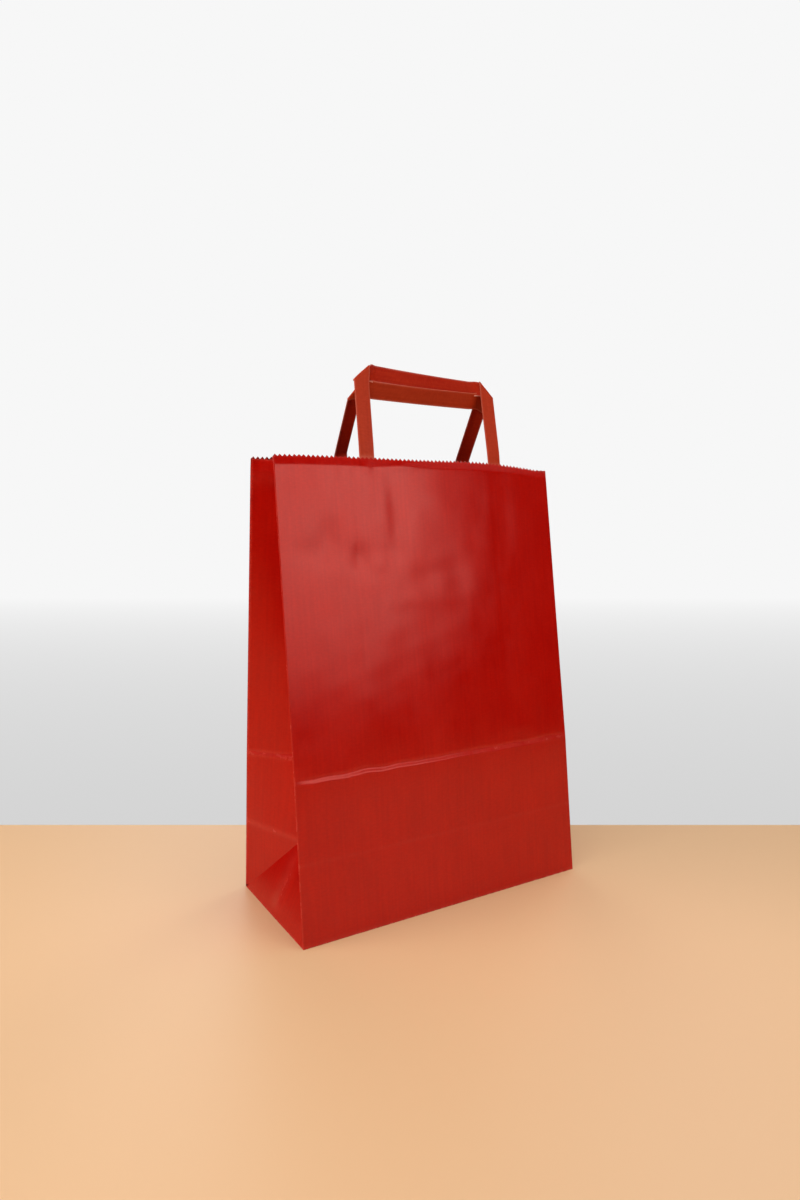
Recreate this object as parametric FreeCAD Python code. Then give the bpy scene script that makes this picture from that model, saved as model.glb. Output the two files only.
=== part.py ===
import FreeCAD, Part
import os
from math import acos, asin, cos, degrees, radians, sin, sqrt

# Paper gift bag with side gussets, a block bottom and two flat folded-tape handles.
# X runs across the front, the front faces -Y, Z is up, and the origin is the middle of the base.
# The walls lean in, so the mouth is narrower than the base, and the gussets fold inward.

# Driving dimensions, in millimetres
WIDTH = 220.0           # outside, side crease to side crease
DEPTH = 100.0           # outside, at the base
WALL = 300.0            # base crease to rim, along a wall
FRONT_SET_IN = 37.2     # front rim, measured in from the front base crease
BACK_SET_IN = 23.2      # back rim, measured in from the back base crease
PAPER = 0.2             # thickness of the bag's sheet
TAPE = 0.8              # thickness of the folded handle tape
TAPE_WIDTH = 11.2
HANDLE_HALF_SPAN = 57.3  # middle of a handle to the outer edge of a leg
HANDLE_SHIFT = 7.5      # both handles are glued this far right of the middle
FRONT_REACH = 65.5      # rim to the top of the front handle, along the handle
BACK_REACH = 57.5       # the same on the back handle, which is glued in deeper
FRONT_HANDLE_LEAN = 8.2   # degrees from upright, towards the back
BACK_HANDLE_LEAN = 28.8   # degrees from upright, towards the front
FOLD_RISE = 3.0         # height above the rim of the line where a handle folds
FOLD_CLEARANCE = 1.9    # between that line and the top of the glued tail
PINK_PITCH = 3.2        # length of one tooth of the pinked rim
PINK_DEPTH = 1.1
PATCH_WIDTH = 152.0     # reinforcing patch over the handle's tails
PATCH_HEIGHT = 40.0
PATCH_DROP = 7.0        # rim to the patch's top edge
PATCH_RAMP = 2.0        # how far the patch takes to climb onto a tail
TAIL_MARGIN = 3.0       # patch's lower edge to the end of a tail
SEAM_LAP = 15.0         # width of the glued overlap that closes the tube
SEAM_FROM_EDGE = 5.0
SEAM_RIM_GAP = 2.0
FLAP_LENGTH = 60.0      # of each bottom flap, so that the two overlap

# The mouth opens until this share of each wall's set-in is left, and the gusset halves turn with it
OPEN_SHARE = 0.2
GUSSET_TURN = 37.0      # degrees
OPENING_STEPS = 16      # places along the opening where the gusset halves are kept apart

# Clearances that let the creased walls turn on each other
BASE_CREASE_GAP = 1.2   # base crease to the start of a wall
SIDE_CREASE_GAP = 1.5   # side crease to the start of a gusset half
CENTRE_GAP = 0.5        # between a gusset's two halves where they come nearest as the mouth opens
DIAGONAL_GAP = 2.1      # base triangle's slanted crease to its neighbour, measured level

HALF_WIDTH = WIDTH / 2
HALF_DEPTH = DEPTH / 2
SET_IN = {"front": FRONT_SET_IN, "back": BACK_SET_IN}
OTHER = {"front": "back", "back": "front"}
WALL_LEAN = {side: asin(SET_IN[side] / WALL) for side in SET_IN}
HANDLE_LEAN = {"front": FRONT_HANDLE_LEAN, "back": BACK_HANDLE_LEAN}
HANDLE_REACH = {"front": FRONT_REACH, "back": BACK_REACH}
GUSSET_LEVELS = (6, 50, 75, 100, 125, 150, 200, 250, 300)

ORIGIN = FreeCAD.Vector(0, 0, 0)
X_AXIS = FreeCAD.Vector(1, 0, 0)
Y_AXIS = FreeCAD.Vector(0, 1, 0)


def face_from(points):
    """A flat face bounded by straight edges through the points."""
    corners = [FreeCAD.Vector(*point) for point in points]
    return Part.Face(Part.makePolygon(corners + corners[:1]))


def wall_sheet(outline, offset, thickness):
    """A sheet parallel to a wall: outline in (x, height), offset inward from the outer face."""
    face = face_from([(x, offset, height) for x, height in outline])
    return face.extrude(FreeCAD.Vector(0, thickness, 0))


def rectangle(x_low, x_high, low, high):
    return [(x_low, low), (x_high, low), (x_high, high), (x_low, high)]


def mirror_across(shape, normal):
    return shape.mirror(ORIGIN, normal)


def on_wall(shape, side):
    """Lean a shape that was built against an upright wall, and set it on its base crease."""
    placed = shape.copy()
    placed.rotate(ORIGIN, X_AXIS, -degrees(WALL_LEAN[side]))
    placed.translate(FreeCAD.Vector(0, -HALF_DEPTH, 0))
    if side == "back":
        placed = mirror_across(placed, Y_AXIS)
    return placed


def pinked_rim():
    """The zigzag top edge, from right to left, as (x, height) points."""
    teeth = round(WIDTH / PINK_PITCH)
    pitch = WIDTH / teeth
    points = [(HALF_WIDTH, WALL - PINK_DEPTH)]
    for tooth in range(teeth):
        start = HALF_WIDTH - tooth * pitch
        points.append((start - pitch / 2, WALL))
        points.append((start - pitch, WALL - PINK_DEPTH))
    return points


def panel(side):
    """One large wall of the bag, with its pinked rim."""
    foot = [(-HALF_WIDTH, BASE_CREASE_GAP), (HALF_WIDTH, BASE_CREASE_GAP)]
    return on_wall(wall_sheet(foot + pinked_rim(), 0, PAPER), side)


def side_seam():
    """The glued overlap of the sheet's two ends, inside the back panel beside its edge."""
    outer = HALF_WIDTH - SEAM_FROM_EDGE
    outline = rectangle(outer - SEAM_LAP, outer, BASE_CREASE_GAP, WALL - SEAM_RIM_GAP)
    return on_wall(wall_sheet(outline, PAPER, PAPER), "back")


def half_depth(height, opening=0):
    """Half the distance between the walls at a height along them: opening is 0 at rest, 1 if open."""
    share = 1 - opening * (1 - OPEN_SHARE)
    return HALF_DEPTH - share * (FRONT_SET_IN + BACK_SET_IN) / 2 * height / WALL


def gusset_fold(height):
    """How far a gusset half is folded in from lying across the bag's side, in radians."""
    return acos(half_depth(max(height, HALF_DEPTH)) / HALF_DEPTH)


def free_width(height):
    """The widest gusset half that never crosses the middle of the bag as the mouth opens."""
    fold = gusset_fold(height)
    widths = []
    for step in range(OPENING_STEPS + 1):
        opening = step / OPENING_STEPS
        turned = fold - radians(GUSSET_TURN) * opening
        widths.append(half_depth(height, opening) / cos(turned))
    return min(widths) - CENTRE_GAP


def side_crease(side, height):
    """A point of the left side crease, with the wall taken as standing at the front."""
    lean = WALL_LEAN[side]
    return FreeCAD.Vector(-HALF_WIDTH, -HALF_DEPTH + height * sin(lean), height * cos(lean))


def gusset_half(side, hand):
    """Half a gusset: it runs from a side crease to the centre crease, and twists as it rises."""
    sections = []
    for height in GUSSET_LEVELS:
        fold = gusset_fold(height)
        across = FreeCAD.Vector(sin(fold), cos(fold), 0)
        inward = FreeCAD.Vector(cos(fold), -sin(fold), 0)
        end = min(height - DIAGONAL_GAP, free_width(height))
        outer_start = side_crease(side, height) + across * SIDE_CREASE_GAP
        outer_end = side_crease(side, height) + across * end
        corners = [outer_start, outer_end, outer_end + inward * PAPER, outer_start + inward * PAPER]
        sections.append(Part.makePolygon(corners + corners[:1]))
    shape = Part.makeLoft(sections, True, True)
    if side == "back":
        shape = mirror_across(shape, Y_AXIS)
    if hand == "right":
        shape = mirror_across(shape, X_AXIS)
    return shape


def base_triangle(hand):
    """The flat triangle between a gusset's two halves and the base."""
    fold = gusset_fold(HALF_DEPTH)
    apex_in = HALF_DEPTH * sin(fold)
    front_lean, back_lean = WALL_LEAN["front"], WALL_LEAN["back"]
    apex_up = HALF_DEPTH * (cos(front_lean) + cos(back_lean)) / 2
    apex_y = HALF_DEPTH * (sin(front_lean) - sin(back_lean)) / 2
    slope = sqrt(apex_in ** 2 + apex_up ** 2)
    up_slope = FreeCAD.Vector(apex_in / slope, 0, apex_up / slope)
    inward = FreeCAD.Vector(apex_up / slope, 0, -apex_in / slope)
    foot = FreeCAD.Vector(-HALF_WIDTH, 0, 0) + up_slope * BASE_CREASE_GAP
    half_base = HALF_DEPTH - BASE_CREASE_GAP - DIAGONAL_GAP
    apex = FreeCAD.Vector(-HALF_WIDTH, apex_y, 0) + up_slope * (slope - DIAGONAL_GAP)
    triangle = face_from([foot - Y_AXIS * half_base, foot + Y_AXIS * half_base, apex])
    shape = triangle.extrude(inward * PAPER)
    return mirror_across(shape, X_AXIS) if hand == "right" else shape


def bottom_flap(side):
    """A bottom flap with 45 degree corners. The front flap is the outer one."""
    narrow = HALF_WIDTH - FLAP_LENGTH
    end = FLAP_LENGTH - HALF_DEPTH
    bottom = 0 if side == "front" else PAPER
    outline = [(-HALF_WIDTH, -HALF_DEPTH), (HALF_WIDTH, -HALF_DEPTH), (narrow, end), (-narrow, end)]
    flap = face_from([(x, y, bottom) for x, y in outline]).extrude(FreeCAD.Vector(0, 0, PAPER))
    return mirror_across(flap, Y_AXIS) if side == "back" else flap


def bottom_tuck(hand):
    """The side of the block bottom, folded in on top of the two flaps."""
    outline = rectangle(-HALF_WIDTH, HALF_DEPTH - HALF_WIDTH, -HALF_DEPTH, HALF_DEPTH)
    tuck = face_from([(x, y, 2 * PAPER) for x, y in outline]).extrude(FreeCAD.Vector(0, 0, PAPER))
    return mirror_across(tuck, X_AXIS) if hand == "right" else tuck


def leg_spans():
    """The left and right edges of each handle leg."""
    inner = HANDLE_HALF_SPAN - TAPE_WIDTH
    return [(HANDLE_SHIFT - HANDLE_HALF_SPAN, HANDLE_SHIFT - inner),
            (HANDLE_SHIFT + inner, HANDLE_SHIFT + HANDLE_HALF_SPAN)]


def handle(side):
    """One tape, mitred at two corners: its legs lie on the outside of its crossbar."""
    top = HANDLE_REACH[side] - FOLD_RISE
    shoulder = top - TAPE_WIDTH
    (left, left_in), (right_in, right) = leg_spans()
    left_leg = [(left, 0), (left_in, 0), (left_in, top), (left, shoulder)]
    right_leg = [(right_in, 0), (right, 0), (right, shoulder), (right_in, top)]
    bar = [(left, shoulder), (right, shoulder), (right_in, top), (left_in, top)]
    tape = wall_sheet(left_leg, -TAPE / 2, TAPE)
    tape = tape.fuse(wall_sheet(bar, TAPE / 2, TAPE))
    tape = tape.fuse(wall_sheet(right_leg, -TAPE / 2, TAPE)).removeSplitter()
    from_wall = HANDLE_LEAN[side] - degrees(WALL_LEAN[side])
    tape.rotate(ORIGIN, X_AXIS, -from_wall)
    tape.translate(FreeCAD.Vector(0, PAPER + TAPE / 2, WALL + FOLD_RISE))
    return on_wall(tape.Solids[0], side)


def handle_tails(side):
    """The two glued ends of a handle, between the wall and its patch."""
    low = WALL - PATCH_DROP - PATCH_HEIGHT + TAIL_MARGIN
    high = WALL + FOLD_RISE - FOLD_CLEARANCE
    tails = [wall_sheet(rectangle(*span, low, high), PAPER, TAPE) for span in leg_spans()]
    return on_wall(Part.makeCompound(tails), side)


def handle_patch(side):
    """The patch glued over both tails: it lies on the wall and climbs over each tail."""
    line = [(HANDLE_SHIFT - PATCH_WIDTH / 2, PAPER)]
    for left, right in leg_spans():
        line += [(left - PATCH_RAMP, PAPER), (left, PAPER + TAPE)]
        line += [(right, PAPER + TAPE), (right + PATCH_RAMP, PAPER)]
    line.append((HANDLE_SHIFT + PATCH_WIDTH / 2, PAPER))
    low = WALL - PATCH_DROP - PATCH_HEIGHT
    ring = line + [(x, y + PAPER) for x, y in reversed(line)]
    patch = face_from([(x, y, low) for x, y in ring]).extrude(FreeCAD.Vector(0, 0, PATCH_HEIGHT))
    return on_wall(patch, side)


def all_nodes():
    nodes = {"side_seam": side_seam()}
    for side in ("front", "back"):
        nodes[f"{side}_panel"] = panel(side)
        nodes[f"bottom_{side}_flap"] = bottom_flap(side)
        nodes[f"{side}_handle"] = handle(side)
        nodes[f"{side}_handle_tails"] = handle_tails(side)
        nodes[f"{side}_handle_patch"] = handle_patch(side)
    for hand in ("left", "right"):
        nodes[f"{hand}_gusset_front_half"] = gusset_half("front", hand)
        nodes[f"{hand}_gusset_back_half"] = gusset_half("back", hand)
        nodes[f"{hand}_base_triangle"] = base_triangle(hand)
        nodes[f"{hand}_bottom_tuck"] = bottom_tuck(hand)
    return nodes


os.makedirs("parts", exist_ok=True)
for name, shape in all_nodes().items():
    shape.exportStep(f"parts/{name}.step")
    box = shape.BoundBox
    print(f"{name}: {len(shape.Solids)} solid(s), {shape.Volume:.1f} mm3, valid {shape.isValid()},",
          f"x {box.XMin:.1f} to {box.XMax:.1f}, y {box.YMin:.1f} to {box.YMax:.1f},",
          f"z {box.ZMin:.1f} to {box.ZMax:.1f}")
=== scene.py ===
from math import asin, cos, pi, radians, sin, sqrt, tan

import bpy
import numpy as np
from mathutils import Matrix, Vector


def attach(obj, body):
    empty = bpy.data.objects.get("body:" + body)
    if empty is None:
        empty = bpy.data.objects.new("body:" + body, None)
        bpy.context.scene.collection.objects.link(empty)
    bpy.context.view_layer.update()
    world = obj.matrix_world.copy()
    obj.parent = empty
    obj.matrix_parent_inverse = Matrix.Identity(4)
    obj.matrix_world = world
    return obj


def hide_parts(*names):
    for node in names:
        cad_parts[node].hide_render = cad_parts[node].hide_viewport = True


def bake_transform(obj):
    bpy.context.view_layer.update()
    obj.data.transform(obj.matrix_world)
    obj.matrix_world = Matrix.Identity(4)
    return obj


# A red paper gift bag: creased panels, gussets folded in, a block bottom and two folded-tape handles.
# The bag's lengths are in millimetres until a mesh is made; the stage, lights and camera are in metres.
# The front faces -Y, and Z is up.

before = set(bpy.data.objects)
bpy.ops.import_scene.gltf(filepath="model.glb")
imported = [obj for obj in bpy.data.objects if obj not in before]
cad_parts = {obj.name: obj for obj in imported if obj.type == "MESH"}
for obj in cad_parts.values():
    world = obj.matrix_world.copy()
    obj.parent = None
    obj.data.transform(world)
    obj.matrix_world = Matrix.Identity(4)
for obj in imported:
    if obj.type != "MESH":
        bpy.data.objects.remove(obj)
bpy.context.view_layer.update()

MM = 0.001

# ---------------------------------------------------------------- sizes of the bag

WIDTH = 220.0
DEPTH = 100.0
WALL = 300.0            # base crease to rim, along a wall
HALF_WIDTH = WIDTH / 2
HALF_DEPTH = DEPTH / 2
SET_IN = {"front": 37.2, "back": 23.2}     # how far a wall's rim stands in from its base crease
LEAN = {side: asin(SET_IN[side] / WALL) for side in SET_IN}
PAPER = 0.2
TAPE = 0.8
TAPE_WIDTH = 11.2

# The handles. Values with two numbers are for the left and the right.
HANDLE_HALF_SPAN = 57.3                    # between the legs' outer edges
HANDLE_SHIFT = 7.5                         # of the handles' middle to the right
HANDLE_LEAN = {"front": radians(8.2), "back": radians(30.2)}
HANDLE_REACH = {"front": 64.3, "back": 61.6}
BAR_TURN = {"front": 0.14, "back": 0.0}    # how far a crossbar's top edge turns inwards, as a slope
BAR_TILT = {"front": 1.0, "back": 0.0}     # how much a crossbar's left end stands above its middle
BAR_LIFT = {"front": 0.7, "back": -0.8}    # how far a crossbar's lower edge is folded up
BAR_SAG = 0.5
BAR_STEP = 1.3                             # how far a crossbar stands inwards of its legs' fold
BAR_SPREAD = {"front": (2.2, 0.5), "back": (0.0, 0.0)}   # how far a crossbar's top edge stands up
CORNER_DROP = {"front": 0.3, "back": 3.8}  # how far a mitre's outer end sinks
LEG_SPLAY = {"front": 2.2, "back": 0.0}    # how far the right leg leans out towards its foot
LEG_FLARE = {"front": 1.6, "back": 0.0}    # how much wider the left leg is at its mitre
LEG_TWIST = {"front": (0.0, 0.0), "back": (3.6, 1.8)}    # how far the legs' inner edges turn out
MITRE_RADIUS = 0.42                        # of the fold at a handle's corner
PLY_EDGE = 7.0                             # across the tape, where its last ply ends
PLY_STEP = 0.16                            # share of the thickness that this ply makes
FOLD_RISE = 3.0                            # rim to the line where a handle folds
PATCH_WIDTH, PATCH_HEIGHT, PATCH_DROP, PATCH_RAMP = 152.0, 40.0, 7.0, 2.0
TAIL_MARGIN = 3.0                          # patch's lower edge to the tape's end

SEAM_LAP, SEAM_FROM_EDGE, SEAM_RIM_GAP = 15.0, 5.0, 2.0
FLAP_LENGTH = 60.0
FLAP_STEP = 1.6                            # between rows of points in the bottom's sheets
BASE_LINE = 100.0       # height of the crease left by folding the bottom up
HALF_BASE_LINE = 50.0
EDGE_RADIUS = 0.5       # outside radius of a crease
TOOTH_COUNT = 69
TOOTH = WIDTH / TOOTH_COUNT
TOOTH_DEPTH = 1.6
SHARP_ANGLE = radians(38)
INSIDE_POINT = np.array([0.0, 0.0, 150.0])
UV_NAME = "sheet"
CREASE_NAME = "crease"


# ---------------------------------------------------------------- small helpers

def hump(value, centre, width):
    return np.exp(-((value - centre) / width) ** 2)


def ramp(value, low, high):
    t = np.clip((value - low) / (high - low), 0, 1)
    return t * t * (3 - 2 * t)


def levels(*spans):
    """Sorted distinct numbers from (low, high, step) spans."""
    parts = [np.linspace(low, high, max(2, round((high - low) / step) + 1)) for low, high, step in spans]
    return np.unique(np.round(np.concatenate(parts), 4))


def waves(x, h, seed, size, count=9):
    """Smooth random relief between about -1 and 1, with features of the given size."""
    source = np.random.default_rng(seed)
    total = 0
    for _ in range(count):
        angle = source.uniform(0, 2 * pi)
        pitch = size * source.uniform(0.7, 1.6)
        phase = source.uniform(0, 2 * pi)
        total = total + np.sin((x * cos(angle) + h * sin(angle)) * 2 * pi / pitch + phase)
    return total / sqrt(count)


def teeth(along, seed):
    """Distance from the rim line down to the pinked edge."""
    tip = 1 - np.abs(2 * ((along / TOOTH) % 1) - 1)
    uneven = 0.12 * waves(along, 0 * along, seed, 9.0, 5)
    return TOOTH_DEPTH * (1 - tip) * (1 + uneven) + 0.12 * np.abs(uneven)


# ---------------------------------------------------------------- relief of the paper

BOW = {"front": 2.0, "back": 1.2}
BELLY = {"front": 1.4, "back": 1.6}
WALL_SEED = {"front": 3, "back": 11}
CREASE_SEED = {"front": 31, "back": 57}
LIP_HEIGHT = 293.4                 # above this the rim curls inwards
LIP_SLOPE = tan(radians(7))
LIP_CURL = 1.2
GUSSET_LIP_SLOPE = tan(radians(9))
# x, half width, depth inwards, and the heights between which it deepens
UPRIGHT_CREASES = [(-56, 1.3, 0.10, 140, 190), (66, 9, 0.26, 215, 262), (57, 1.2, 0.05, 100, 130)]
# x, height, half width, half height, depth outwards
DENTS = [(-76, 248, 10, 13, -1.0), (-88, 240, 12, 8, -0.6), (-55, 236, 9, 9, -1.05),
         (-42, 232, 6, 5, 0.2), (-38, 226, 8, 4, -0.12), (-26, 268, 7, 24, -0.5),
         (-46, 276, 5, 14, 0.14), (-32, 240, 12, 6, -0.42), (6, 226, 22, 7, -0.25),
         (-15, 296, 15, 4, 0.6), (-46, 293, 4, 4, 0.4), (-4, 208, 26, 6, 0.18),
         (68, 112, 9, 5, 0.16)]


def edge_bow(side, h):
    """How far a side crease stands out from the straight line between base and rim."""
    return BOW[side] * np.minimum(h / BASE_LINE, (WALL - h) / (WALL - BASE_LINE))


def base_creases(x, h, seed):
    """The creases at half the depth and the full depth, where the folded bottom left its marks."""
    wander = 0.5 * waves(x, 0 * x, seed, 26.0) + 0.10 * waves(x, 0 * x, seed + 1, 8.0)
    below = BASE_LINE + wander - h
    shelf = 0.75 * ramp(below, -1.6, 1.2) * (1 - ramp(below, 4, 42))
    lip = 0.12 * hump(below, -1.9, 1.0) * (1 + 0.25 * waves(x, 0 * h, seed + 2, 30.0))
    faint = 0.10 * ramp(HALF_BASE_LINE - h, -1.0, 1.0) * (1 - ramp(HALF_BASE_LINE - h, 3, 20))
    return shelf - lip + faint


def wall_relief(side, x, h):
    """How far a wall's surface stands out from its flat plane."""
    inner = 1 - np.abs(x / HALF_WIDTH) ** 10
    across = 1 - (x / HALF_WIDTH) ** 2
    out = edge_bow(side, h)
    out = out + BELLY[side] * across * ramp(h, 0, 170)
    out = out + inner * base_creases(x, h, CREASE_SEED[side])
    out = out - LIP_SLOPE * np.maximum(h - LIP_HEIGHT, 0) ** LIP_CURL
    for cx, wx, depth, low, high in UPRIGHT_CREASES:
        out = out - inner * ramp(h, low, high) * depth * hump(x, cx, wx)
    seed = WALL_SEED[side]
    out = out + inner * ramp(h, 104, 150) * 0.10 * waves(x, h, seed, 62.0)
    out = out + inner * 0.035 * waves(x, h, seed + 1, 19.0) * ramp(h, 4, 40)
    if side == "front":
        for cx, ch, wx, wh, depth in DENTS:
            out = out + depth * hump(x, cx, wx) * hump(h, ch, wh)
    else:
        lap = hump(x, HALF_WIDTH - SEAM_FROM_EDGE - SEAM_LAP, 0.8) * 0.12
        out = out + inner * lap
    return out


def rim_rise(x):
    """The rim stands a little higher where the panel bellies out than at its corners."""
    arch = 2.2 + 1.1 * (1 - np.abs(x / HALF_WIDTH) ** 4)
    return arch + 1.2 * hump(x, 42, 36) - 1.4 * ramp(x, 70, HALF_WIDTH)


def relief_at(side, x, height):
    """The relief at a height of the raised wall, for what is glued to its inside."""
    return wall_relief(side, x, height - rim_rise(x) * ramp(height - 2, 225, WALL))


def wall_points(side, x, inward, h):
    """Points of a wall's own frame, with inward measured from its flat outer plane."""
    lean = LEAN[side]
    y = -HALF_DEPTH + h * sin(lean) + inward * cos(lean)
    z = h * cos(lean) - inward * sin(lean)
    if side == "back":
        y = -y
    return np.stack(np.broadcast_arrays(x, y, z), axis=-1).astype(float)


def corner_round(distance):
    """Inward set of the middle surface within a crease's radius of the sheet's edge."""
    left = np.clip(EDGE_RADIUS - distance, 0, EDGE_RADIUS)
    return EDGE_RADIUS - np.sqrt(EDGE_RADIUS ** 2 - left ** 2)


# ---------------------------------------------------------------- mesh building

def finish_mesh(name, points, faces, flat, crease, materials, material_of_face):
    mesh = bpy.data.meshes.new(name)
    mesh.from_pydata((points * MM).tolist(), [], faces.tolist())
    uv = mesh.uv_layers.new(name=UV_NAME)
    corner = np.empty(len(mesh.loops), np.int32)
    mesh.loops.foreach_get("vertex_index", corner)
    uv.data.foreach_set("uv", (flat[corner] * MM).astype(np.float32).ravel())
    layer = mesh.attributes.new(CREASE_NAME, "FLOAT", "POINT")
    layer.data.foreach_set("value", crease.astype(np.float32))
    for material in materials:
        mesh.materials.append(material)
    mesh.polygons.foreach_set("material_index", material_of_face)
    mesh.polygons.foreach_set("use_smooth", [True] * len(mesh.polygons))
    mesh.update()
    mesh.set_sharp_from_angle(angle=SHARP_ANGLE)
    obj = bpy.data.objects.new(name, mesh)
    bpy.context.scene.collection.objects.link(obj)
    return obj


def sheet(name, middle, flat, thickness, crease, outside, inside):
    """A closed sheet about a grid of middle points (rows, columns, 3); thickness may vary over it."""
    rows, columns = middle.shape[:2]
    normal = np.cross(np.gradient(middle, axis=1), np.gradient(middle, axis=0))
    normal /= np.maximum(np.linalg.norm(normal, axis=2, keepdims=True), 1e-12)
    outward = np.sum(normal * (middle - INSIDE_POINT), axis=2).mean()
    if outward < 0:
        middle, flat = middle[:, ::-1], flat[:, ::-1]
        normal = -normal[:, ::-1]
        thickness = np.broadcast_to(thickness, (rows, columns))[:, ::-1]
        crease = np.broadcast_to(crease, (rows, columns))[:, ::-1]
    half = np.broadcast_to(thickness, (rows, columns))[..., None] / 2
    points = np.concatenate([(middle + normal * half).reshape(-1, 3),
                             (middle - normal * half).reshape(-1, 3)])
    number = np.arange(rows * columns).reshape(rows, columns)
    low_left, low_right = number[:-1, :-1].ravel(), number[:-1, 1:].ravel()
    top_right, top_left = number[1:, 1:].ravel(), number[1:, :-1].ravel()
    outer = np.stack([low_left, low_right, top_right, top_left], axis=1)
    inner = outer[:, ::-1] + rows * columns
    ring = np.concatenate([number[0, :-1], number[:-1, -1], number[-1, :0:-1], number[:0:-1, 0]])
    after = np.roll(ring, -1)
    border = np.stack([after, ring, ring + rows * columns, after + rows * columns], axis=1)
    faces = np.concatenate([outer, inner, border])
    material_of_face = np.zeros(len(faces), np.int32)
    material_of_face[len(outer):len(outer) + len(inner)] = 1
    flat_points = np.concatenate([flat.reshape(-1, 2)] * 2)
    crease_points = np.concatenate([np.broadcast_to(crease, (rows, columns)).ravel()] * 2)
    return finish_mesh(name, points, faces, flat_points, crease_points, (outside, inside), material_of_face)


# ---------------------------------------------------------------- materials

def node(tree, kind, **settings):
    made = tree.nodes.new(kind)
    for key, value in settings.items():
        setattr(made, key, value)
    return made


def noise(tree, vector, scale, detail=2.0, roughness=0.5):
    """Noise over the sheet's own coordinates, with scale in features per metre along and up."""
    mapping = node(tree, "ShaderNodeMapping")
    mapping.inputs["Scale"].default_value = (scale[0], scale[1], 1)
    texture = node(tree, "ShaderNodeTexNoise", noise_dimensions="2D")
    texture.inputs["Scale"].default_value = 1.0
    texture.inputs["Detail"].default_value = detail
    texture.inputs["Roughness"].default_value = roughness
    tree.links.new(vector, mapping.inputs["Vector"])
    tree.links.new(mapping.outputs["Vector"], texture.inputs["Vector"])
    return texture.outputs["Fac"]


def remap(tree, value, low, high, to_low, to_high):
    made = node(tree, "ShaderNodeMapRange")
    for key, number in (("From Min", low), ("From Max", high), ("To Min", to_low), ("To Max", to_high)):
        made.inputs[key].default_value = number
    tree.links.new(value, made.inputs["Value"])
    return made.outputs["Result"]


def math_node(tree, operation, first, second):
    made = node(tree, "ShaderNodeMath", operation=operation)
    for socket, value in zip(made.inputs, (first, second)):
        if isinstance(value, (int, float)):
            socket.default_value = value
        else:
            tree.links.new(value, socket)
    return made.outputs["Value"]


def mix(tree, factor, first, second):
    made = node(tree, "ShaderNodeMix", data_type="RGBA")
    for socket, value in ((made.inputs[0], factor), (made.inputs[6], first), (made.inputs[7], second)):
        if isinstance(value, (int, float)):
            socket.default_value = value
        elif isinstance(value, tuple):
            socket.default_value = (*value, 1)
        else:
            tree.links.new(value, socket)
    return made.outputs[2]


def paper(name, deep, bright, wear_and_highlight, roughness, ribs, fibre, sheen, specular, tint=(1, 1, 1)):
    """Dyed kraft paper: fine ribs up the sheet, loose fibres, mottled dye, and pale creases, partly real
    wear and partly painted highlight where creases catch the light.
    """
    material = bpy.data.materials.new(name)
    material.use_nodes = True
    tree = material.node_tree
    shader = tree.nodes["Principled BSDF"]
    place = node(tree, "ShaderNodeUVMap", uv_map=UV_NAME).outputs["UV"]
    rib = noise(tree, place, (640, 22), 1.5, 0.5)
    strand = noise(tree, place, (330, 800), 1.5, 0.5)
    cloud = noise(tree, place, (34, 22), 3.0, 0.55)
    blotch = noise(tree, place, (170, 120), 3.0, 0.6)
    crease = node(tree, "ShaderNodeAttribute", attribute_name=CREASE_NAME).outputs["Fac"]
    dye = math_node(tree, "ADD", remap(tree, cloud, 0.3, 0.7, 0.05, 0.4),
                    remap(tree, rib, 0.3, 0.7, 0.0, 0.34))
    dye = math_node(tree, "ADD", dye, remap(tree, strand, 0.35, 0.7, -0.1, 0.24))
    colour = mix(tree, dye, deep, bright)
    # The crease attribute pales the colour: real wear on rubbed folds, and painted highlight along creases
    # that catch the light.
    wear_and_highlight_mask = math_node(tree, "MULTIPLY", crease, remap(tree, blotch, 0.3, 0.62, 0.6, 1.0))
    colour = mix(tree, wear_and_highlight_mask, colour, wear_and_highlight)
    tree.links.new(colour, shader.inputs["Base Color"])
    rough = math_node(tree, "ADD", remap(tree, cloud, 0.3, 0.7, roughness - 0.02, roughness + 0.03),
                      remap(tree, blotch, 0.3, 0.7, -0.02, 0.03))
    rough = math_node(tree, "ADD", rough, math_node(tree, "MULTIPLY", wear_and_highlight_mask, 0.18))
    tree.links.new(rough, shader.inputs["Roughness"])
    height = math_node(tree, "ADD", math_node(tree, "MULTIPLY", rib, ribs),
                       math_node(tree, "MULTIPLY", strand, fibre))
    bump = node(tree, "ShaderNodeBump")
    bump.inputs["Strength"].default_value = 1.0
    bump.inputs["Distance"].default_value = MM
    tree.links.new(height, bump.inputs["Height"])
    tree.links.new(bump.outputs["Normal"], shader.inputs["Normal"])
    shader.inputs["Specular IOR Level"].default_value = specular
    shader.inputs["Specular Tint"].default_value = (*tint, 1)
    shader.inputs["Sheen Weight"].default_value = sheen
    shader.inputs["Sheen Roughness"].default_value = 0.5
    return material


# The fourth colour of each paper is its pale crease colour: wear, and painted highlight on the creases that
# catch the light.
GLOSS_RED = paper("bag_paper_outside", (0.45, 0.0018, 0.0002), (0.565, 0.0050, 0.0005), (0.66, 0.07, 0.05),
                  0.20, 0.0045, 0.0012, 0.0, 0.85, (1.0, 0.38, 0.32))
MATTE_RED = paper("bag_paper_inside", (0.36, 0.008, 0.004), (0.47, 0.015, 0.007), (0.56, 0.07, 0.05),
                  0.62, 0.012, 0.010, 0.1, 0.35)
TAPE_RED = paper("handle_paper", (0.45, 0.030, 0.004), (0.56, 0.046, 0.010), (0.74, 0.20, 0.13),
                 0.45, 0.008, 0.008, 0.0, 0.20)
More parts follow.
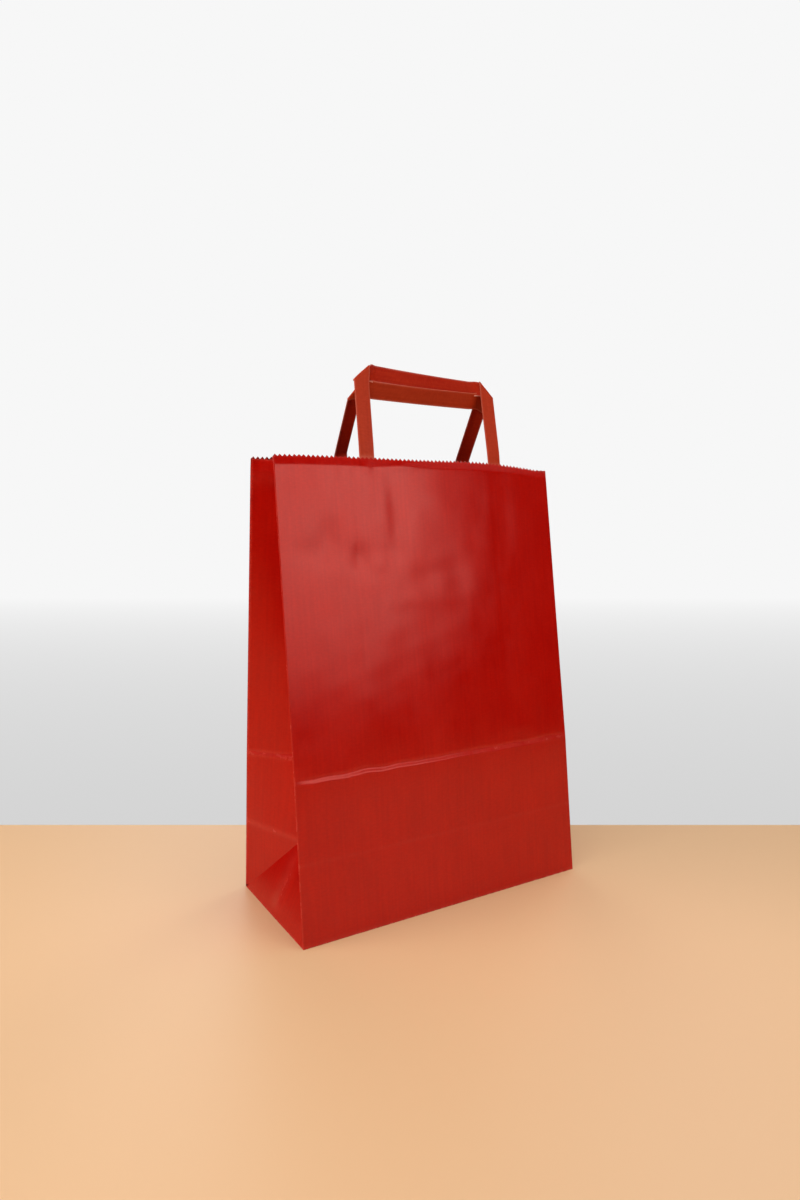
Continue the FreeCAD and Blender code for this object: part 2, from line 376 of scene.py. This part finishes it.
# Painted shade: the tape's reverse side is a darker copy of the handle paper, so the back handle, which
# turns this side to the front, looks shaded. Its pale crease colour is wear and painted highlight.
TAPE_SHADED = paper("handle_paper_reverse_shaded", (0.37, 0.012, 0.002), (0.48, 0.026, 0.005), (0.86, 0.42, 0.34),
                  0.42, 0.008, 0.008, 0.0, 0.08)
PATCH_RED = paper("patch_paper", (0.38, 0.010, 0.004), (0.50, 0.018, 0.008), (0.60, 0.09, 0.06),
                  0.58, 0.012, 0.010, 0.1, 0.35)


# ---------------------------------------------------------------- the two large panels

def panel(side):
    xs = levels((-HALF_WIDTH, HALF_WIDTH, TOOTH / 2))
    edge = np.array([0.06, 0.15, 0.3, 0.5, 0.9])
    xs = np.unique(np.round(np.concatenate([xs, -HALF_WIDTH + edge, HALF_WIDTH - edge]), 4))
    hs = levels((0.1, 1.3, 0.24), (1.3, 46, 1.9), (46, 54, 0.8), (54, 94, 1.8), (94, 104, 0.4),
                (104, 286, 1.7), (286, 298.2, 0.75))
    x, h = np.meshgrid(xs, np.append(hs, WALL))
    h[-1] = WALL - teeth(x[-1] + HALF_WIDTH, 5 if side == "front" else 6)
    lifted = h + rim_rise(x) * ramp(h, 225, WALL)
    from_edge = HALF_WIDTH - np.abs(x)
    inward = PAPER / 2 - wall_relief(side, x, h) + corner_round(from_edge) + corner_round(h)
    middle = wall_points(side, x, inward, lifted)
    wear_and_highlight = 0.35 * hump(from_edge, 0, 0.7) + 0.4 * hump(h, 0.3, 1.0)
    # Painted highlight: the pale band along the base-line crease, stronger towards the right, stands in for
    # the light this crease catches. The pale side edges, bottom and rim are wear.
    wear_and_highlight = wear_and_highlight + (0.10 + 0.22 * ramp(x, -10, 80)) * hump(h, BASE_LINE + 0.5, 1.7)
    wear_and_highlight = wear_and_highlight + 0.10 * hump(h, HALF_BASE_LINE, 1.2)
    wear_and_highlight = wear_and_highlight + 0.5 * hump(h, WALL, 1.3)
    flat = np.stack([x, h], axis=-1)
    obj = sheet(f"{side}_panel_sheet", middle, flat, PAPER, np.clip(wear_and_highlight, 0, 1), GLOSS_RED, MATTE_RED)
    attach(obj, f"{side}_wall")
    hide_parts(f"{side}_panel")
    return obj


# ---------------------------------------------------------------- gussets

def half_depth(h):
    return HALF_DEPTH - (SET_IN["front"] + SET_IN["back"]) / 2 * h / WALL


def fold_angle(h):
    return np.arccos(half_depth(np.maximum(h, HALF_BASE_LINE)) / HALF_DEPTH)


def centre_crease(h):
    """The gusset's centre crease on the left of the bag, at a height of 50 or more."""
    fold = fold_angle(h)
    bow = (edge_bow("front", h) + edge_bow("back", h)) / 2
    y = -HALF_DEPTH + h * sin(LEAN["front"]) + half_depth(h)
    z = h * (cos(LEAN["front"]) + cos(LEAN["back"])) / 2
    x = -HALF_WIDTH + HALF_DEPTH * np.sin(fold) - 0.25 * bow
    return np.stack([x, y, z], axis=-1)


APEX_SAG = 4.0          # how far the gusset's meeting point hangs below the straight creases
GUSSET_SEED = {("front", "left"): 70, ("back", "left"): 80, ("front", "right"): 75, ("back", "right"): 85}
APEX = centre_crease(np.array(HALF_BASE_LINE)) - np.array([0, 0, APEX_SAG])


def mirrored(points, hand):
    return points * np.array([-1.0 if hand == "right" else 1.0, 1.0, 1.0])


def gusset_relief(u, v, seed):
    """How far a gusset half's surface stands out along its own normal."""
    out = base_creases(u, v, seed) * 0.7
    out = out - GUSSET_LIP_SLOPE * np.maximum(v - LIP_HEIGHT + 2, 0)
    out = out + 0.10 * waves(u, v, seed + 4, 48.0) * ramp(v, 60, 110)
    out = out + 0.5 * np.sin(np.clip(u / HALF_DEPTH, 0, 1) * pi) * ramp(v, 105, 200)
    return out


def crease_lap(v):
    """How far a half runs on past its inner crease, inside the bag, so that no slit shows when it opens."""
    side_lap = 0.9 * ramp(v, 4, 24) * (1 - ramp(v, 150, 200))
    foot_lap = 1.0 * ramp(v, 2, 16) * (1 - ramp(v, 46, 60))
    return 0.1 + (side_lap + foot_lap) + 0.8 * ramp(v, 255, 290)


def gusset_half(side, hand):
    seed = GUSSET_SEED[side, hand]
    vs = levels((2.2, 46, 1.5), (46, 54, 0.6), (54, 94, 1.7), (94, 104, 0.45), (104, 286, 2.0),
                (286, 298.2, 0.9))
    vs = np.append(vs, WALL)
    arc = np.linspace(0, 1, 4)
    spread = np.linspace(0, 1, 33)[1:]
    v = np.repeat(vs[:, None], len(arc) + len(spread), axis=1)
    fold = fold_angle(v)
    corner = wall_points(side, -HALF_WIDTH, -edge_bow(side, v), v)
    toward = 1.0 if side == "front" else -1.0
    turn = fold * np.concatenate([arc, np.ones(len(spread))])
    radius = EDGE_RADIUS - PAPER / 2
    bend = corner + np.stack([PAPER / 2 + radius * (1 - np.cos(turn)),
                              toward * (EDGE_RADIUS + radius * np.sin(turn)), 0 * turn], axis=-1)
    foot = wall_points(side, -HALF_WIDTH + PAPER / 2, EDGE_RADIUS, 0.0)
    share = np.clip(v / HALF_BASE_LINE, 0, 1)[..., None]
    upper = centre_crease(v)
    upper[..., 2] -= APEX_SAG * (1 - ramp(v, HALF_BASE_LINE, 95))
    end = np.where(v[..., None] < HALF_BASE_LINE, foot + (APEX - foot) * share, upper)
    over = end - bend
    over = over / np.linalg.norm(over, axis=-1, keepdims=True)
    end = end - np.array([0, toward * 0.04, 0]) + over * crease_lap(v)[..., None]
    along = np.concatenate([np.zeros(len(arc)), spread])[None, :, None]
    middle = bend + (end - bend) * along
    width = np.linalg.norm(end - bend, axis=-1)
    u = EDGE_RADIUS * np.minimum(along[..., 0] * 9, 1) + width * along[..., 0]
    v_top = WALL - teeth(u[-1] + 0.8, seed)
    middle[-1, :, 2] -= (WALL - v_top)
    middle[..., 2] += 1.5 * ramp(v, 225, WALL) * (1 - 0.5 * along[..., 0])
    normal = np.stack([-np.cos(fold), toward * np.sin(fold), 0 * fold], axis=-1)
    free = np.clip(along[..., 0] * 8, 0, 1) * np.clip((1 - along[..., 0]) * 8, 0, 1) * ramp(v, 8, 40)
    relief = gusset_relief(u, v, seed) * free
    middle = middle + normal * relief[..., None]
    wear_and_highlight = 0.45 * hump(u, 0, 0.8) + 0.35 * hump(along[..., 0], 1, 0.02) + 0.5 * hump(v, WALL, 1.3)
    # Painted highlight: pale bands along the two base creases stand in for the light strips they catch. The
    # pale band just below the rim is a painted reflection in the curled lip.
    wear_and_highlight = wear_and_highlight + 0.42 * hump(v, BASE_LINE, 2.1) + 0.30 * hump(v, HALF_BASE_LINE, 2.1)
    wear_and_highlight = wear_and_highlight + 0.12 * hump(v, 287, 5)
    flat = np.stack([u, v], axis=-1)
    obj = sheet(f"{hand}_gusset_{side}_sheet", mirrored(middle, hand), flat, PAPER, np.clip(wear_and_highlight, 0, 1),
                GLOSS_RED, MATTE_RED)
    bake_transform(obj)
    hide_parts(f"{hand}_gusset_{side}_half")
    return obj


def base_triangle(hand):
    rise = np.append(levels((0, 0.96, 0.03)), [0.98, 0.995, 1.008])
    across = np.linspace(0, 1, 41)
    q, t = np.meshgrid(across, rise)
    ends = [wall_points(side, -HALF_WIDTH + PAPER / 2, EDGE_RADIUS, 0.12) for side in ("front", "back")]
    low = ends[0] + (ends[1] - ends[0]) * q[..., None]
    middle = low + (APEX - low) * t[..., None]
    lap = (-0.3 + 2.4 * ramp(t, 0.0, 0.3) - 1.2 * ramp(t, 0.85, 1)) * (2 * q - 1) ** 5
    middle[..., 1] += lap
    normal = np.cross(ends[1] - ends[0], APEX - ends[0])
    normal = normal / np.linalg.norm(normal)
    normal = normal * np.sign(-normal[0])
    streak = hump(q, 0.5, 0.06 / np.maximum(1 - t, 0.15)) * ramp(t, 0.02, 0.2) * (1 - ramp(t, 0.7, 0.95))
    tilt = 0.35 * np.abs(q - 0.5) * (1 - t)
    middle = middle + normal * (0.26 * streak - tilt)[..., None]
    flat = np.stack([(q - 0.5) * DEPTH * np.maximum(1 - t, 0.02), t * HALF_BASE_LINE], axis=-1)
    # Painted highlight: the streak up the centre crease is paled on top of its small ridge. The pale foot is
    # wear.
    wear_and_highlight = 0.16 * streak + 0.4 * hump(t, 0, 0.015)
    obj = sheet(f"{hand}_base_triangle_sheet", mirrored(middle, hand), flat, PAPER, np.clip(wear_and_highlight, 0, 1),
                GLOSS_RED, MATTE_RED)
    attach(obj, f"{hand}_triangle")
    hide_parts(f"{hand}_base_triangle")
    return obj


# ---------------------------------------------------------------- bottom

def bottom_relief(x, y):
    """The bottom sags up a little between its creases, so it stands on its edges."""
    rim = (1 - (x / HALF_WIDTH) ** 4) * (1 - (y / HALF_DEPTH) ** 4)
    return rim * (0.5 + 0.15 * waves(x, y, 91, 40.0))


def bottom_sheet(name, x, y, layer, node_name, crease):
    middle = np.stack([x, y, (layer + 0.5) * PAPER + bottom_relief(x, y)], axis=-1)
    obj = sheet(name, middle, np.stack([x, y], axis=-1), PAPER * 0.96, crease, GLOSS_RED, MATTE_RED)
    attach(obj, "base")
    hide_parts(node_name)
    return obj


def bottom_flap(side):
    sign = -1.0 if side == "front" else 1.0
    share, run = np.meshgrid(np.linspace(-1, 1, 111), levels((EDGE_RADIUS, FLAP_LENGTH, FLAP_STEP)))
    x = share * (HALF_WIDTH - run)
    y = sign * (HALF_DEPTH - run)
    crease = 0.5 * hump(run, EDGE_RADIUS, 0.8) + 0.2 * hump(np.abs(share), 1, 0.01)
    layer = 0 if side == "front" else 1
    bottom_sheet(f"bottom_{side}_flap_sheet", x, y, layer, f"bottom_{side}_flap", crease)


def bottom_tuck(hand):
    sign = -1.0 if hand == "left" else 1.0
    run, y = np.meshgrid(levels((EDGE_RADIUS, HALF_DEPTH, FLAP_STEP)),
                         np.linspace(-HALF_DEPTH + 0.6, HALF_DEPTH - 0.6, 61))
    crease = 0.5 * hump(run, EDGE_RADIUS, 0.8)
    bottom_sheet(f"{hand}_bottom_tuck_sheet", sign * (HALF_WIDTH - run), y, 2, f"{hand}_bottom_tuck", crease)


# ---------------------------------------------------------------- inside of the back panel, patches

def seam():
    outer = HALF_WIDTH - SEAM_FROM_EDGE
    x, h = np.meshgrid(levels((outer - SEAM_LAP, outer, 1.0)), levels((1.5, WALL - SEAM_RIM_GAP, 2.0)))
    inward = 1.5 * PAPER + 0.02 - relief_at("back", x, h)
    middle = wall_points("back", x, inward, h)
    obj = sheet("side_seam_sheet", middle, np.stack([x, h], axis=-1), PAPER * 0.96,
                0.3 * hump(x, outer - SEAM_LAP, 0.8), GLOSS_RED, MATTE_RED)
    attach(obj, "back_wall")
    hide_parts("side_seam")


def leg_edges():
    return HANDLE_SHIFT - HANDLE_HALF_SPAN, HANDLE_SHIFT + HANDLE_HALF_SPAN


def patch(side):
    left, right = leg_edges()
    low = WALL - PATCH_DROP - PATCH_HEIGHT
    x, h = np.meshgrid(levels((HANDLE_SHIFT - PATCH_WIDTH / 2, HANDLE_SHIFT + PATCH_WIDTH / 2, 1.0)),
                       levels((low, low + PATCH_HEIGHT, 1.25)))
    lift = 0
    for start in (left, right - TAPE_WIDTH):
        stop = start + TAPE_WIDTH
        lift = lift + ramp(x, start - PATCH_RAMP, start) * (1 - ramp(x, stop, stop + PATCH_RAMP))
    lift = lift * ramp(h, low + 0.5, low + TAIL_MARGIN)
    cockle = 0.08 * np.abs(waves(x, h, 44 if side == "front" else 45, 14.0))
    inward = 1.5 * PAPER + TAPE * lift + 0.06 + cockle - relief_at(side, x, h)
    middle = wall_points(side, x, inward, h)
    wear_and_highlight = 0.35 * hump(np.abs(x - HANDLE_SHIFT), PATCH_WIDTH / 2, 0.8)
    wear_and_highlight = wear_and_highlight + 0.3 * hump(h, low + PATCH_HEIGHT, 0.8)
    obj = sheet(f"{side}_handle_patch_sheet", middle, np.stack([x, h], axis=-1), PAPER, wear_and_highlight,
                PATCH_RED, PATCH_RED)
    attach(obj, f"{side}_wall")
    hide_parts(f"{side}_handle_patch")


# ---------------------------------------------------------------- handles

def tape_place(side, x, inward, rise):
    """A point of the tape, with rise measured from the line where the handle folds."""
    turn = np.where(rise > 0, HANDLE_LEAN[side] - LEAN[side], 0)
    rise = rise - BAR_TILT[side] * ramp(rise, 0, 60) * (x - HANDLE_SHIFT) / HANDLE_HALF_SPAN
    height = np.clip(WALL + FOLD_RISE + rise, 0, WALL + FOLD_RISE)
    held = relief_at(side, np.clip(x, -100, 100), height)
    free = ramp(rise, 0, 10)
    out = held * (1 - free) + wall_relief(side, HANDLE_SHIFT, WALL) * free
    across = inward * np.cos(turn) + rise * np.sin(turn)
    up = rise * np.cos(turn) - inward * np.sin(turn)
    return wall_points(side, x, PAPER + TAPE / 2 + across - out, WALL + FOLD_RISE + up)


def leg_rows(side, sign, edge, a, shoulder):
    """A leg from its tail up to its mitre and round the fold; a runs across the tape."""
    tail = -(FOLD_RISE + PATCH_DROP + PATCH_HEIGHT - TAIL_MARGIN)
    fixed = levels((tail, -5, 2.0), (-5, 5, 0.4), (5, shoulder - 3, 2.0))
    mitre = shoulder + a - CORNER_DROP[side] * (1 - a / TAPE_WIDTH)
    rows = [(edge + sign * a, 0 * a, np.full_like(a, y)) for y in fixed]
    for share in np.linspace(0, 1, 7)[1:]:
        rows.append((edge + sign * a, 0 * a, fixed[-1] + (mitre - fixed[-1]) * share))
    for phi in np.linspace(0, pi, 7)[1:-1]:
        push = MITRE_RADIUS * sin(phi) / sqrt(2)
        rows.append((edge + sign * (a - push), MITRE_RADIUS * (1 - cos(phi)) + 0 * a, mitre + push))
    left = sign > 0
    twist = LEG_TWIST[side][0 if left else 1] * a / TAPE_WIDTH
    flare = LEG_FLARE[side] * a / TAPE_WIDTH if left else 0 * a
    splay = 0 if left else LEG_SPLAY[side]
    shaped = []
    for x, inward, rise in rows:
        x = x + flare * ramp(rise, shoulder - 4, shoulder + TAPE_WIDTH)
        x = x + splay * np.clip(1 - rise / shoulder, 0, 1)
        shaped.append((x, inward - twist * ramp(rise, -1, 5), rise))
    return shaped


def bar_rows(side, left, right, a, shoulder):
    """The crossbar from the left mitre to the right one."""
    rows = []
    across = a / TAPE_WIDTH
    high, low = BAR_SPREAD[side]
    widening = ramp(shoulder + a, shoulder - 4, shoulder + TAPE_WIDTH)
    for share in np.linspace(0, 1, 61):
        start, stop = left + a, right - a
        at = start + (stop - start) * share
        from_leg = np.minimum(at - left, right - at) - TAPE_WIDTH
        near_leg = ramp(from_leg, -TAPE_WIDTH, 0)
        lifted = BAR_LIFT[side] * (1 - across) * near_leg
        drop = CORNER_DROP[side] * (1 - across) * (1 - near_leg)
        twist = LEG_TWIST[side][0] * (1 - share) + LEG_TWIST[side][1] * share
        twist = twist * across * (1 - ramp(from_leg, -TAPE_WIDTH, 12))
        spread = (high * (1 - share) + low * share) * across * ramp(from_leg, 0, 2.5)
        at = at + LEG_FLARE[side] * across * (1 - ramp(share, 0, 0.2)) * widening
        pressed = np.clip(from_leg / 6.5, 0, 1) * (BAR_STEP + BAR_TURN[side] * a)
        sag = BAR_SAG * np.sin(pi * share)
        rows.append((at, 2 * MITRE_RADIUS + pressed - twist, shoulder + a + lifted + spread - drop - sag))
    return rows


def handle(side):
    """One tape from tail to tail, folded over at two mitred corners."""
    left, right = leg_edges()
    shoulder = HANDLE_REACH[side] - FOLD_RISE - TAPE_WIDTH
    side_steps = np.array([0, 0.04, 0.12, 0.25, 0.4])
    inside_steps = np.linspace(0.4, TAPE_WIDTH - 0.4, 13)
    a = np.unique(np.concatenate([side_steps, inside_steps, TAPE_WIDTH - side_steps]))
    rows = leg_rows(side, 1, left, a, shoulder)
    rows += bar_rows(side, left, right, a, shoulder)
    rows += leg_rows(side, -1, right, a, shoulder)[::-1]
    x, inward, rise = (np.stack(part) for part in zip(*rows))
    middle = tape_place(side, x, inward, rise)
    from_side = np.minimum(a, TAPE_WIDTH - a)
    rounding = np.clip(1 - from_side / (TAPE / 2), 0, 1)
    ply = 1 - PLY_STEP * ramp(a, PLY_EDGE, PLY_EDGE + 0.3)
    thickness = np.maximum(TAPE * np.sqrt(1 - rounding ** 2), 0.1) * ply
    steps = np.linalg.norm(np.diff(middle[:, len(a) // 2], axis=0), axis=1)
    length = np.concatenate([[0], np.cumsum(steps)])
    flat = np.stack(np.broadcast_arrays(a[None, :], length[:, None]), axis=-1)
    # Crease colour of the tape: both long edges are pale, wear on the rubbed folds and partly painted
    # highlight. The fold at the rim is wear. The strong pale line along each crossbar's lower edge is a
    # painted highlight where that edge catches the light.
    crease = 0.5 * hump(from_side, 0, 0.5) + np.zeros_like(x)
    crease = crease + 0.35 * hump(rise, 0, 1.5)
    crease = crease + 0.8 * hump(a, 0, 0.7) * ramp(inward, 1.0, 1.8)
    # The reverse side takes the darker paper, which carries painted shade.
    obj = sheet(f"{side}_handle_tape", middle, flat, np.broadcast_to(thickness, x.shape),
                np.clip(crease, 0, 1), TAPE_RED, TAPE_SHADED)
    low = wall_points(side, 0.0, PAPER + TAPE / 2, WALL + FOLD_RISE - 2.2) * MM
    high = wall_points(side, 0.0, PAPER + TAPE / 2, WALL + FOLD_RISE + 2.2) * MM
    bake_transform(obj)
    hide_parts(f"{side}_handle", f"{side}_handle_tails")


for side in ("front", "back"):
    panel(side)
    patch(side)
    handle(side)
    bottom_flap(side)
for hand in ("left", "right"):
    for side in ("front", "back"):
        gusset_half(side, hand)
    base_triangle(hand)
    bottom_tuck(hand)
seam()


# ---------------------------------------------------------------- stage, light and camera

CAMERA_AT = Vector((-0.2914, -0.4620, 0.2503))
CAMERA_TO = Vector((-0.0115, 0.0, 0.2044))
LENS = 23.157
SENSOR = 36             # the image's long side, in millimetres
TABLE_EDGE = 0.6486     # from the camera, along its level view direction
FLOOR_NEAR, FLOOR_FAR, FLOOR_WIDE = 1.5, 2.4, 1.7
FLOOR_COLOUR = (0.82, 0.51, 0.275)
FLOOR_ROUGHNESS = 0.45
BACKDROP_GLOW = (0.66, 0.93)   # low down and high up; the dimmer foot is painted shade where the backdrop meets the floor
LIGHT_TARGET = Vector((0, 0, 0.16))
SOFTBOX_CORNER = 2.6           # 2 is an ellipse, more is squarer
SOFTBOX_FALL = 0.8             # how fast it brightens upwards
SOFTBOX_TINT = (1.0, 0.96, 0.94)


def plain(name, colour, rough):
    material = bpy.data.materials.new(name)
    material.use_nodes = True
    shader = material.node_tree.nodes["Principled BSDF"]
    shader.inputs["Base Color"].default_value = (*colour, 1)
    shader.inputs["Roughness"].default_value = rough
    return material


def glowing(name, colour):
    """Light of its own, as strong as the mesh's glow attribute says."""
    material = bpy.data.materials.new(name)
    material.use_nodes = True
    tree = material.node_tree
    tree.nodes.clear()
    light = node(tree, "ShaderNodeEmission")
    light.inputs["Color"].default_value = (*colour, 1)
    strength = node(tree, "ShaderNodeAttribute", attribute_name="glow")
    tree.links.new(strength.outputs["Fac"], light.inputs["Strength"])
    tree.links.new(light.outputs["Emission"], node(tree, "ShaderNodeOutputMaterial").inputs["Surface"])
    return material


def staged(name, points, faces, material, glow=None):
    mesh = bpy.data.meshes.new(name)
    mesh.from_pydata([tuple(p) for p in points], [], faces)
    mesh.materials.append(material)
    if glow is not None:
        mesh.attributes.new("glow", "FLOAT", "POINT").data.foreach_set("value", glow)
    obj = bpy.data.objects.new(name, mesh)
    bpy.context.scene.collection.objects.link(obj)
    return obj


def only_seen(obj):
    """A backdrop that the camera sees and that lights nothing."""
    obj.visible_diffuse = False
    obj.visible_glossy = False
    obj.visible_shadow = False


def stage():
    """A pale floor that ends behind the bag, and a pale glowing backdrop beyond it, dimmer next to the floor
    as painted shade.
    """
    ahead = (CAMERA_TO - CAMERA_AT)
    ahead.z = 0
    ahead.normalize()
    beside = Vector((ahead.y, -ahead.x, 0))
    line = CAMERA_AT + ahead * TABLE_EDGE
    line.z = 0
    left, right = line - beside * FLOOR_WIDE, line + beside * FLOOR_WIDE
    nearer, further = ahead * FLOOR_NEAR, ahead * FLOOR_FAR
    staged("floor", [left - nearer, right - nearer, right, left], [(0, 1, 2, 3)],
           plain("floor", FLOOR_COLOUR, FLOOR_ROUGHNESS))
    pale = glowing("backdrop", (1.0, 1.0, 1.0))
    low, high = BACKDROP_GLOW
    only_seen(staged("backdrop_foot", [left, right, right + further, left + further],
                     [(0, 1, 2, 3)], pale, [low, low, high, high]))
    turns, rises, radius = 48, 24, 7.0
    points, glow = [], []
    for i in range(rises + 1):
        tilt = -pi / 2 + pi * i / rises
        for k in range(turns):
            turn = 2 * pi * k / turns
            points.append((radius * cos(tilt) * cos(turn), radius * cos(tilt) * sin(turn),
                           radius * sin(tilt) - 0.01))
            glow.append(high)
    faces = [(i * turns + k, i * turns + (k + 1) % turns,
              (i + 1) * turns + (k + 1) % turns, (i + 1) * turns + k)
             for i in range(rises) for k in range(turns)]
    only_seen(staged("backdrop", points, faces, pale, glow))


def aim(azimuth, elevation):
    a, e = radians(azimuth), radians(elevation)
    return Vector((sin(a) * cos(e), -cos(a) * cos(e), sin(e)))


def softbox(name, azimuth, elevation, distance, centre, half, peak, edge):
    """A glowing rounded square that shows in the gloss, brightest at its top right."""
    direction = aim(azimuth, elevation)
    right = Vector((cos(radians(azimuth)), sin(radians(azimuth)), 0))
    up = right.cross(direction)
    up = up if up.z > 0 else -up
    middle = LIGHT_TARGET + direction * distance + right * centre[0] + up * centre[1]
    rings, turns = 8, 48
    points, glow = [middle], [edge + (peak - edge) * 0.5 ** SOFTBOX_FALL]
    for ring in range(1, rings + 1):
        r = ring / rings
        for k in range(turns):
            c, s = cos(2 * pi * k / turns), sin(2 * pi * k / turns)
            reach = r / (abs(c) ** SOFTBOX_CORNER + abs(s) ** SOFTBOX_CORNER) ** (1 / SOFTBOX_CORNER)
            points.append(middle + right * (half[0] * reach * c) + up * (half[1] * reach * s))
            upwards = (0.5 + 0.5 * reach * s) ** SOFTBOX_FALL
            level = edge + (peak - edge) * upwards * (1 + 0.3 * reach * c)
            glow.append(level * (1 - 0.4 * float(ramp(r, 0.8, 1.0))))
    faces = [(0, 1 + k, 1 + (k + 1) % turns) for k in range(turns)]
    for ring in range(rings - 1):
        base = 1 + ring * turns
        faces += [(base + k, base + turns + k, base + turns + (k + 1) % turns, base + (k + 1) % turns)
                  for k in range(turns)]
    obj = staged(name, points, faces, glowing(name, SOFTBOX_TINT), glow)
    obj.visible_camera = False
    return obj


def area_light(name, azimuth, elevation, distance, size, radiance, gloss):
    """A soft elliptical light, aimed at the bag. Azimuth 0 is in front and grows to the right."""
    direction = aim(azimuth, elevation)
    data = bpy.data.lights.new(name, "AREA")
    data.shape = "ELLIPSE"
    data.size, data.size_y = size
    data.energy = radiance * pi * (pi / 4 * size[0] * size[1])
    obj = bpy.data.objects.new(name, data)
    obj.location = LIGHT_TARGET + direction * distance
    obj.rotation_mode = "QUATERNION"
    obj.rotation_quaternion = (-direction).to_track_quat("-Z", "Y")
    obj.visible_camera = False
    obj.visible_glossy = gloss
    bpy.context.scene.collection.objects.link(obj)


stage()
softbox("softbox", 13, 20, 1.3, (0.15, -0.085), (0.375, 0.345), 3.4, 1.35)
area_light("fill_left", -58, 40, 1.1, (0.9, 0.8), 2.0, False)
area_light("side_left", -100, 28, 1.5, (1.0, 0.9), 4.0, False)
area_light("gloss_top", 46, 38, 1.5, (0.6, 0.4), 0.41, True)
area_light("overhead", 20, 75, 1.5, (1.5, 1.3), 2.45, False)
area_light("gloss_left", -118, 32, 1.5, (0.8, 0.9), 1.2, True)
area_light("gloss_back", 165, 30, 1.5, (1.0, 0.9), 2.4, True)
area_light("gloss_right", 112, 40, 1.5, (0.8, 0.8), 2.6, True)

world = bpy.data.worlds.new("studio")
world.use_nodes = True
world.node_tree.nodes["Background"].inputs["Color"].default_value = (1.0, 1.0, 1.0, 1)
world.node_tree.nodes["Background"].inputs["Strength"].default_value = 0.02
bpy.context.scene.world = world
bpy.context.scene.view_settings.view_transform = "Standard"

camera_data = bpy.data.cameras.new("camera")
camera_data.lens = LENS
camera_data.sensor_width = SENSOR
camera_data.clip_start = 0.01
camera = bpy.data.objects.new("camera", camera_data)
camera.location = CAMERA_AT
camera.rotation_mode = "QUATERNION"
camera.rotation_quaternion = (CAMERA_TO - CAMERA_AT).to_track_quat("-Z", "Y")
bpy.context.scene.collection.objects.link(camera)
bpy.context.scene.camera = camera
